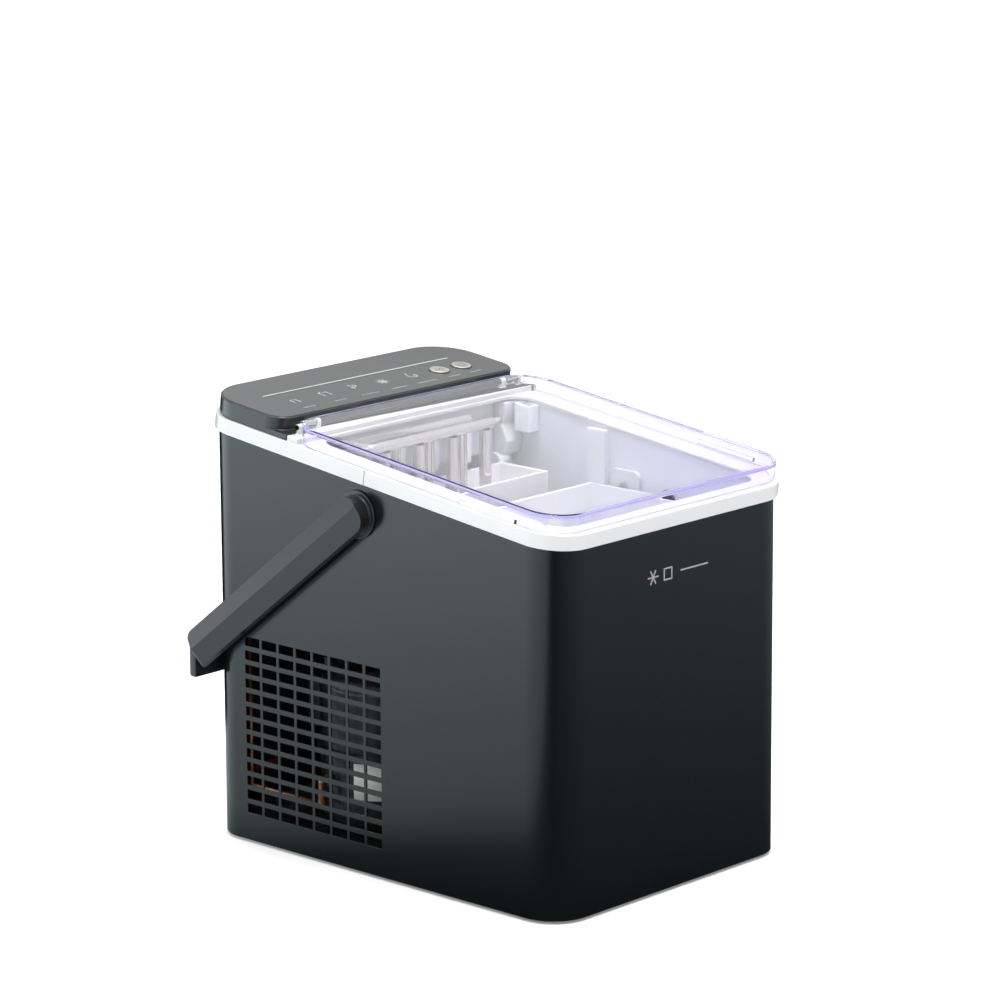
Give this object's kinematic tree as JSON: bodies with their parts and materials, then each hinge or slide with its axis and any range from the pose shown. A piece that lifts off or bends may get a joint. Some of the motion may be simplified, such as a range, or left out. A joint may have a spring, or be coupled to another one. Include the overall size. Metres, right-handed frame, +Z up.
{
  "type": "countertop ice maker",
  "caption": "Upright black box with a sloping top, a clear hinged lid over a white ice well, a grey control panel at the back, side grilles and a swinging carrying handle.",
  "frame": {"origin": "centre of the bounding box's bottom, on the table, with the handle resting behind", "axes": "+X right, +Y to the back (panel end), +Z up; the front with the mark faces -Y"},
  "size_m": [0.247, 0.3226, 0.296],
  "materials": {
    "black_paint": "satin",
    "screw_steel": "plain",
    "zinc_sheet": "plain",
    "black_rubber": "matt",
    "grey_print": "satin",
    "white_plastic": "satin",
    "tub_plastic": "satin",
    "foam": "matt",
    "clear_plastic": "clear",
    "black_plastic": "satin",
    "nickel_tube": "bright",
    "milky_plastic": "milky",
    "dark_plastic": "matt",
    "silicone_hose": "satin",
    "compressor_paint": "gloss",
    "label_plate": "satin",
    "fin_aluminium": "plain",
    "copper": "dull",
    "grey_plastic": "satin",
    "valve_blue": "satin",
    "panel_grey": "satin",
    "button_metal": "satin",
    "circuit_board": "satin",
    "wire_cover": "satin"
  },
  "bodies": {
    "casing": {"outer_shell": "black_paint", "rear_panel": "black_paint", "casing_screws": "screw_steel", "base_pan": "zinc_sheet", "rubber_feet": "black_rubber", "cord_gland": "black_rubber", "front_mark": "grey_print", "rim_front": "white_plastic", "rim_rear": "white_plastic", "inner_tub": "tub_plastic", "foam_insulation": "foam", "drain_seal": "black_rubber", "lid_pins": "screw_steel", "handle_washers": "black_plastic", "handle_bushes": "tub_plastic", "evaporator_pipes": "nickel_tube", "evaporator_fingers": "nickel_tube", "gear_housing": "tub_plastic", "idler_housing": "tub_plastic", "tray_motor": "zinc_sheet", "corner_housing": "milky_plastic", "sensor_bracket": "white_plastic", "sensor_eyes": "dark_plastic", "bracket_screw": "screw_steel", "water_pump": "dark_plastic", "suction_hose": "silicone_hose", "delivery_hose": "silicone_hose", "compressor": "compressor_paint", "compressor_feet": "black_rubber", "compressor_label": "label_plate", "terminal_cover": "dark_plastic", "condenser_fins": "fin_aluminium", "condenser_coil": "copper", "fan_shroud": "dark_plastic", "fan_motor": "zinc_sheet", "filter_drier": "copper", "gas_valve": "valve_blue", "copper_pipes": "copper", "panel_cover": "panel_grey", "panel_inlay": "grey_print", "button_switches": "dark_plastic", "control_board": "circuit_board", "power_board": "circuit_board", "wire_bundle": "wire_cover"},
    "lid": {"lid": "clear_plastic"},
    "handle": {"handle_bail": "black_plastic", "handle_clips": "screw_steel"},
    "tray": {"water_tray": "tub_plastic"},
    "shovel": {"ice_shovel": "tub_plastic"},
    "fan": {"fan_wheel": "grey_plastic"},
    "button_a": {"button_left": "button_metal"},
    "button_b": {"button_right": "button_metal"},
    "basket": {"ice_basket": "white_plastic"},
    "scoop": {"ice_scoop": "clear_plastic"},
    "plug": {"drain_plug": "black_rubber"}
  },
  "joints": [
    {"name": "lid_hinge", "type": "hinge", "parent": "casing", "child": "lid", "pos_m": [0, 0.0696, 0.28152], "axis": [-1, 0, 0], "range_deg": [0, 100]},
    {"name": "handle_swing", "type": "hinge", "parent": "casing", "child": "handle", "pos_m": [0, 0.00915, 0.23597], "axis": [1, 0, 0], "range_deg": [0, 135]},
    {"name": "tray_tilt", "type": "hinge", "parent": "casing", "child": "tray", "pos_m": [0, 0.06395, 0.23], "axis": [1, 0, 0], "range_deg": [0, 80]},
    {"name": "shovel_swing", "type": "hinge", "parent": "casing", "child": "shovel", "pos_m": [0, 0.06595, 0.257], "axis": [-1, 0, 0], "range_deg": [0, 55]},
    {"name": "fan_spin", "type": "hinge", "parent": "casing", "child": "fan", "pos_m": [0.087, 0.05265, 0.08], "axis": [1, 0, 0], "continuous": true},
    {"name": "button_a_press", "type": "slide", "parent": "casing", "child": "button_a", "axis": [0, 0.1219, -0.9925], "range_m": [0, 0.001], "stiffness_N_per_m": 600},
    {"name": "button_b_press", "type": "slide", "parent": "casing", "child": "button_b", "axis": [0, 0.1219, -0.9925], "range_m": [0, 0.001], "stiffness_N_per_m": 600},
    {"name": "basket_lift", "type": "slide", "parent": "casing", "child": "basket", "axis": [0, 0, 1], "range_m": [0, 0.02]},
    {"name": "scoop_lift", "type": "slide", "parent": "basket", "child": "scoop", "axis": [0, 0, 1], "range_m": [0, 0.06]},
    {"name": "plug_pull", "type": "slide", "parent": "casing", "child": "plug", "axis": [1, 0, 0], "range_m": [0, 0.012]}
  ],
  "couplings": [
    {"joint": "shovel_swing", "follows": "tray_tilt", "ratio": 0.6875}
  ]
}
